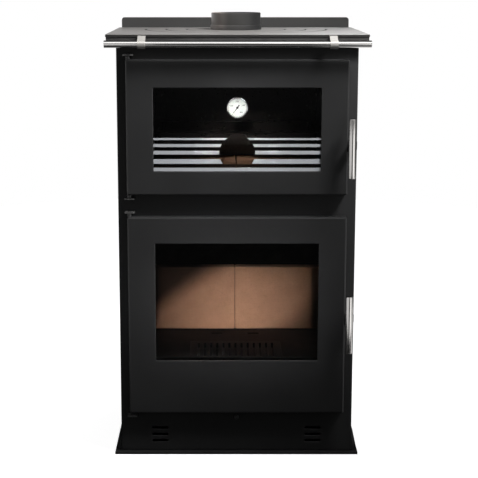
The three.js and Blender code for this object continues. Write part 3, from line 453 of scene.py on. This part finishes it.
# Painted shade: the grooves, their ends and everything below the top face are drawn dark.
unshaded_top = hob_z.step(0.9688, 0.9697)
for radius in groove_radii:
    from_groove = around.sum("ABSOLUTE", around - radius)
    on_groove = (1.0 - from_groove.step(0.003, 0.0055)) * before_collar
    from_end_squared = ((hob_x * hob_x) ** 0.5 - radius) ** 2.0 + hob_y * hob_y
    on_end = 1.0 - from_end_squared.step(0.00002, 0.00004)
    unshaded_top = unshaded_top * (1.0 - on_groove * 0.85) * (1.0 - on_end * 0.85)
blued = hob_steel.blend(tarnish, (0.163, 0.156, 0.15, 1), (0.21, 0.202, 0.196, 1))
paler = hob_steel.blend(tarnish, (0.29, 0.286, 0.282, 1), (0.36, 0.355, 0.35, 1))
# Painted reflection: the ground tone pales towards the right.
ground_and_sheen = hob_steel.blend(hob_x.step(0.0, 0.27), blued, paler)
hob_steel.surface(
    base_color=hob_steel.blend(unshaded_top, (0.03, 0.029, 0.028, 1), ground_and_sheen),
    roughness=brushed * 0.12 + 0.3,
    metallic=0.2,
    normal=hob_steel.bump(brushed, 0.00005, 0.5),
)
dress(hob_steel, "hob_plate")

# Backguard
# A bent sheet that stands up behind the hob and keeps pans off the wall. It is painted a satin iron grey,
# paler than the body.
dress(paint("grey_paint", (0.047, 0.0462, 0.0455), 0.42), "backguard")

# Flue collar
# A turned steel spigot with a foot ring that rests on the hob, in grey paint. A painted reflection pales its
# left side, and painted shade darkens its right.
collar_paint = sprayed("collar_paint", 0.36)
east = collar_paint.along("X")[0]
# Painted light: a painted reflection on the left and painted shade on the right.
shade_right = collar_paint.blend(east.step(-0.02, 0.05), (0.035, 0.0335, 0.032, 1), (0.014, 0.014, 0.014, 1))
reflection_left = collar_paint.blend(east.step(-0.055, -0.015), (0.21, 0.185, 0.17, 1), shade_right)
collar_paint.surface(base_color=reflection_left, specular_ior_level=0.5)


def turned(shape, outline, place, steps=96, closed=True):
    """Spins an outline of radius and height pairs about its own axis and puts it in its place."""
    before = set(shape.verts)
    corners = [shape.verts.new((radius, 0, height)) for radius, height in outline]
    following = corners[1:] + corners[:1] if closed else corners[1:]
    sides = [shape.edges.new(ends) for ends in zip(corners, following)]
    bmesh.ops.spin(shape, geom=corners + sides, cent=(0, 0, 0), axis=(0, 0, 1), angle=math.tau, steps=steps,
                   use_merge=True)
    new = [v for v in shape.verts if v not in before]
    bmesh.ops.remove_doubles(shape, verts=new, dist=0.0005)
    new = [v for v in shape.verts if v not in before]
    bmesh.ops.recalc_face_normals(shape, faces=list({f for v in new for f in v.link_faces}))
    bmesh.ops.transform(shape, matrix=place, verts=new)


hob_top, bore, spigot, foot = 970, 56, 59, 61
collar_outline = [(bore, -12), (spigot, -12), (spigot, 0.3), (foot, 0.3), (foot, 10.2), (60.7, 10.8),
                  (60, 11), (spigot, 11), (spigot, 38.6), (58.6, 39.6), (57.7, 40), (57.1, 40),
                  (56.3, 39.7), (bore, 39)]
shape = bmesh.new()
turned(shape, collar_outline, Matrix.Translation((0, collar_y, hob_top)))
made("collar_ring", shape, collar_paint, "stove", ["flue_collar"])

# Hand rail
# A polished bar of stainless steel with a fine drawn line, as long as the hob is wide. The edges of its ends
# are slightly rounded.
stainless = Finish("stainless")
line = stainless.noise(90.0, 3.0, 0.6, stainless.stretched(1.0, 40.0, 40.0))
stainless.surface(
    base_color=(0.78, 0.765, 0.75, 1),
    roughness=line * 0.08 + 0.09,
    metallic=1.0,
    normal=stainless.bump(line, 0.00003, 0.4),
)


def rod(shape, start, end, radius, edge, sides=64):
    """Adds a round bar between two points, with its end edges eased."""
    start, end = Vector(start), Vector(end)
    place = Matrix.Translation((start + end) / 2) @ (end - start).to_track_quat("Z", "Y").to_matrix().to_4x4()
    new = bmesh.ops.create_cone(shape, cap_ends=True, segments=sides, radius1=radius, radius2=radius,
                                depth=(end - start).length, matrix=place)["verts"]
    rims = [e for e in {e for v in new for e in v.link_edges} if any(len(f.verts) > 4 for f in e.link_faces)]
    bmesh.ops.bevel(shape, geom=rims, offset=edge, segments=3, profile=0.5, affect="EDGES", material=-1)


rail_end, rail_y, rail_z, rail_radius = 290, -253.5, 950.5, 8
shape = bmesh.new()
rod(shape, (-rail_end, rail_y, rail_z), (rail_end, rail_y, rail_z), rail_radius, 1.0)
made("rail_bar", shape, stainless, "stove", ["hand_rail"])

# Rail brackets
# Bent straps of satin stainless steel, one near each end of the rail. The strap closes round the rail, and
# its foot is screwed to the hob's front edge.


def strap(shape, line, thickness, span):
    """Adds a bent strip: its middle line in Y and Z, its thickness and its span along X."""
    before = set(shape.verts)
    sides = ([], [])
    for number, (y, z) in enumerate(line):
        (y0, z0), (y1, z1) = line[max(number - 1, 0)], line[min(number + 1, len(line) - 1)]
        outwards = Vector((z0 - z1, y1 - y0)).normalized() * thickness / 2
        sides[0].append(shape.verts.new((span[0], y + outwards.x, z + outwards.y)))
        sides[1].append(shape.verts.new((span[0], y - outwards.x, z - outwards.y)))
    face = shape.faces.new(sides[0] + sides[1][::-1])
    grown = bmesh.ops.extrude_face_region(shape, geom=[face])["geom"]
    far_side = [part for part in grown if isinstance(part, bmesh.types.BMVert)]
    bmesh.ops.translate(shape, vec=(span[1] - span[0], 0, 0), verts=far_side)
    new = [v for v in shape.verts if v not in before]
    bmesh.ops.recalc_face_normals(shape, faces=list({f for v in new for f in v.link_faces}))


satin = Finish("satin_stainless")
satin.surface(base_color=(0.62, 0.6, 0.57, 1), roughness=satin.noise(500.0) * 0.1 + 0.3, metallic=0.6)
strap_x, strap_width, strap_thickness, strap_radius = 209, 17, 1.6, 9.6
turns = [math.radians(degrees) for degrees in range(-110, 51, 10)]
around_rail = [(rail_y - strap_radius * math.cos(turn), rail_z + strap_radius * math.sin(turn))
               for turn in turns]
to_hob = [(-246.5, 958.6), (-242.5, 960), (-236.5, 966), (-219.6, 966.6)]
foot_screw, foot_screw_y, foot_screw_z = (2.4, 1.0), -223.3, 961.3
for side, name in ((-1, "left"), (1, "right")):
    middle = side * strap_x
    shape = bmesh.new()
    strap(shape, around_rail + to_hob, strap_thickness, (middle - strap_width / 2, middle + strap_width / 2))
    screw(shape, (middle, foot_screw_y, foot_screw_z), (0, -1, 0), *foot_screw)
    made(f"rail_strap_{name}", shape, satin, "stove", [f"rail_bracket_{name}"])

# Air control knob
# A small turned knob, blackened, on the end of the air slide's rod. The rod comes out of the front plate
# below the fire door.
to_the_front = Matrix.Rotation(math.pi / 2, 4, "X")
knob_outline = [(0, 0), (3.6, 0), (4.6, 1.0), (5, 2.2), (5, 6.6), (4.6, 7.8), (3.6, 8.6), (1.8, 9), (0, 9)]
knob_back, knob_z = -201.6, 89
shape = bmesh.new()
turned(shape, knob_outline, Matrix.Translation((0, knob_back, knob_z)) @ to_the_front, steps=48, closed=False)
made("air_control_knob", shape, screw_paint, "air_control", ["air_knob"])

# Handle grips
# An upright stainless bar on each door's latch lever, drawn lengthwise, with flat ends. Turning it frees the
# lever's hook from its keeper.
grip_steel = Finish("grip_steel")
drawn = grip_steel.noise(90.0, 3.0, 0.6, grip_steel.stretched(40.0, 40.0, 1.0))
grip_steel.surface(base_color=(0.66, 0.64, 0.62, 1), roughness=drawn * 0.12 + 0.13, metallic=1.0,
                   normal=grip_steel.bump(drawn, 0.00003, 0.4))
grip_x, grip_y, grip_radius, grip_half = 251.5, -261, 8, 65.5
for door, middle in (("oven", 723), ("fire", 324.5)):
    shape = bmesh.new()
    rod(shape, (grip_x, grip_y, middle - grip_half), (grip_x, grip_y, middle + grip_half), grip_radius, 0.8)
    made(f"{door}_grip_bar", shape, grip_steel, f"{door}_handle", [f"{door}_handle_grip"])

# Thermometer case
# A pressed and chromed case with a rolled bezel. Its stem passes through the oven glass, and a hexagon nut
# holds it from behind.
chrome = Finish("thermometer_chrome")
chrome.surface(base_color=(0.75, 0.75, 0.75, 1), roughness=chrome.noise(400.0) * 0.06 + 0.1, metallic=1.0)
dial_z, case_back = 810.5, -223.5
case_outline = [(0, 0), (21.5, 0), (22.6, 0.6), (23, 1.8), (23, 9.4), (22.7, 10.4), (21.9, 11), (21, 10.7),
                (20.5, 9.8), (20.5, 2), (0, 2)]
stem_start, stem_end, stem_radius = -224, -189.5, 3
nut_front, nut_back, nut_radius = -218.9, -215.9, 7
shape = bmesh.new()
turned(shape, case_outline, Matrix.Translation((0, case_back, dial_z)) @ to_the_front, closed=False)
rod(shape, (0, stem_start, dial_z), (0, stem_end, dial_z), stem_radius, 0.5, sides=24)
rod(shape, (0, nut_front, dial_z), (0, nut_back, dial_z), nut_radius, 0.5, sides=6)
made("thermometer_housing", shape, chrome, "oven_door", ["thermometer_case"])

# Door glass and thermometer lens
# Flat ceramic glass in the doors, lightly smoked, with a coat that keeps its reflections weak. Over the dial
# lies clear window glass.


def see_through(name, tint, ior, mirror, roughness):
    """Glass that lets light through in its tint and mirrors a share of what plain glass would."""
    glass = Finish(name)
    pane = glass.node("ShaderNodeMixShader", None, {
        0: glass.node("ShaderNodeFresnel", None, {"IOR": ior}) * mirror,
        1: glass.node("ShaderNodeBsdfTransparent", None, {"Color": tint}),
        2: glass.node("ShaderNodeBsdfGlossy", None, {"Color": white, "Roughness": roughness}),
    })
    glass.feed(glass.tree.nodes["Material Output"].inputs["Surface"], pane)
    return glass


dress(see_through("door_glass", (0.9, 0.9, 0.905, 1), 1.5, 0.4, 0.03), "oven_door_glass", "fire_door_glass")
dress(see_through("lens_glass", (0.97, 0.97, 0.97, 1), 1.45, 1.0, 0.02), "thermometer_lens")

# Mirror stripes on the oven glass
# Five silvered bands printed on the front of the oven glass. The upper four stop at a round clearing, which
# is left bare, and the lowest runs right across below it.
silver = Finish("mirror_stripe")
silver.surface(base_color=silver.blend(silver.noise(20.0), (0.43, 0.445, 0.465, 1), (0.515, 0.53, 0.56, 1)),
               roughness=silver.noise(300.0) * 0.06 + 0.3, metallic=0.25)
print_y, print_thickness = -223.28, 0.06
clearing_z, clearing_radius = 709, 40
half_band_x, half_band_length, whole_band_length = 110, 154, 374
half_bands, whole_band = ((738.2, 742.8), (722.6, 729.4), (706.2, 714.3), (685.2, 695.8)), (667, 676.4)


def band(shape, x, length, low, high, steps):
    """Adds an upright strip on the glass, and gives its corners."""
    place = Matrix.Translation((x, print_y, (low + high) / 2)) @ Matrix.Diagonal((length, 1, high - low, 1))
    corners = bmesh.ops.create_grid(shape, x_segments=1, y_segments=steps, size=0.5)["verts"]
    bmesh.ops.transform(shape, matrix=place @ to_the_front, verts=corners)
    return corners


shape = bmesh.new()
for low, high in half_bands:
    for side in (-1, 1):
        for corner in band(shape, side * half_band_x, half_band_length, low, high, steps=8):
            if abs(corner.co.x) < half_band_x:
                corner.co.x = side * math.sqrt(clearing_radius ** 2 - (corner.co.z - clearing_z) ** 2)
band(shape, 0, whole_band_length, *whole_band, steps=1)
bmesh.ops.solidify(shape, geom=shape.faces[:], thickness=print_thickness)
made("oven_glass_stripes", shape, silver, "oven_door")

# Door gaskets
# Knitted glass-fibre rope, grey, pressed into the channel behind each door's edge in one closed loop. It
# seals the door against the front plate.
rope = Finish("gasket_rope")
knit = rope.noise(600.0, 2.0)
rope.surface(base_color=rope.blend(knit, (0.05, 0.049, 0.046, 1), (0.14, 0.137, 0.13, 1)), roughness=0.95,
             normal=rope.bump(knit, 0.0006))
rope_x, rope_y, rope_inset, rope_bend, rope_radius = 229, -204, 17, 8, 3.7


def meshed(curve):
    """Gives the mesh of a curve or of words."""
    draft = bpy.data.objects.new(curve.name, curve)
    mesh = bpy.data.meshes.new_from_object(draft)
    bpy.data.objects.remove(draft)
    return mesh


for door, low, high in doors:
    run = bpy.data.curves.new(f"{door}_rope_run", "CURVE")
    run.dimensions, run.bevel_depth, run.bevel_resolution = "3D", rope_radius, 4
    loop = run.splines.new("POLY")
    top, bottom = high - rope_inset, low + rope_inset
    bends = ((rope_x, top, 0), (-rope_x, top, 90), (-rope_x, bottom, 180), (rope_x, bottom, 270))
    points = []
    for x, z, start in bends:
        for turn in [math.radians(start + degrees) for degrees in range(0, 91, 15)]:
            points.append((x + rope_bend * math.cos(turn), rope_y, z + rope_bend * math.sin(turn), 1))
    loop.points.add(len(points) - 1)
    for point, place in zip(loop.points, points):
        point.co = place
    loop.use_cyclic_u = True
    shape = bmesh.new()
    shape.from_mesh(meshed(run))
    made(f"{door}_rope_seal", shape, rope, f"{door}_door", [f"{door}_door_gasket"])

# Thermometer dial and needle
# A white disc with 17 printed marks and a number at every fourth, from 0 to 400. Before it turns a black
# pointer, pressed from thin sheet.
dial = Finish("dial_white")
dial.surface(base_color=dial.blend(dial.noise(30.0), (0.86, 0.86, 0.84, 1), (0.92, 0.92, 0.9, 1)),
             roughness=0.6)
dress(dial, "thermometer_dial")
needle = Finish("needle_black")
needle.surface(base_color=(0.012, 0.012, 0.012, 1), roughness=needle.noise(300.0) * 0.1 + 0.4)
dress(needle, "thermometer_needle")

ink = Finish("dial_ink")
ink.surface(base_color=(0.02, 0.02, 0.02, 1), roughness=ink.noise(500.0) * 0.1 + 0.5)
first_mark, sweep, last_mark = 216, 285, 16
mark_outer, number_radius, number_size = 19.4, 13.4, 4.6
ink_y, ink_thickness = -226.99, 0.06
shape = bmesh.new()
for mark in range(last_mark + 1):
    turn = math.radians(first_mark + sweep * mark / last_mark)
    length, width = (2.6, 0.5) if mark % 4 == 0 else (1.5, 0.3)
    upright = (Matrix.Translation((0, ink_y, mark_outer - length / 2))
               @ Matrix.Diagonal((width, ink_thickness, length, 1)))
    place = Matrix.Translation((0, 0, dial_z)) @ Matrix.Rotation(turn, 4, "Y") @ upright
    bmesh.ops.create_cube(shape, size=1, matrix=place)
for number in range(5):
    turn = math.radians(first_mark + sweep * number / 4)
    words = bpy.data.curves.new("dial_number", "FONT")
    words.body, words.size, words.extrude = str(number * 100), number_size, ink_thickness / 2
    words.align_x, words.align_y = "CENTER", "CENTER"
    digits = meshed(words)
    place = Vector((number_radius * math.sin(turn), ink_y, dial_z + number_radius * math.cos(turn)))
    digits.transform(Matrix.Translation(place) @ to_the_front)
    shape.from_mesh(digits)
made("thermometer_print", shape, ink, "oven_door")
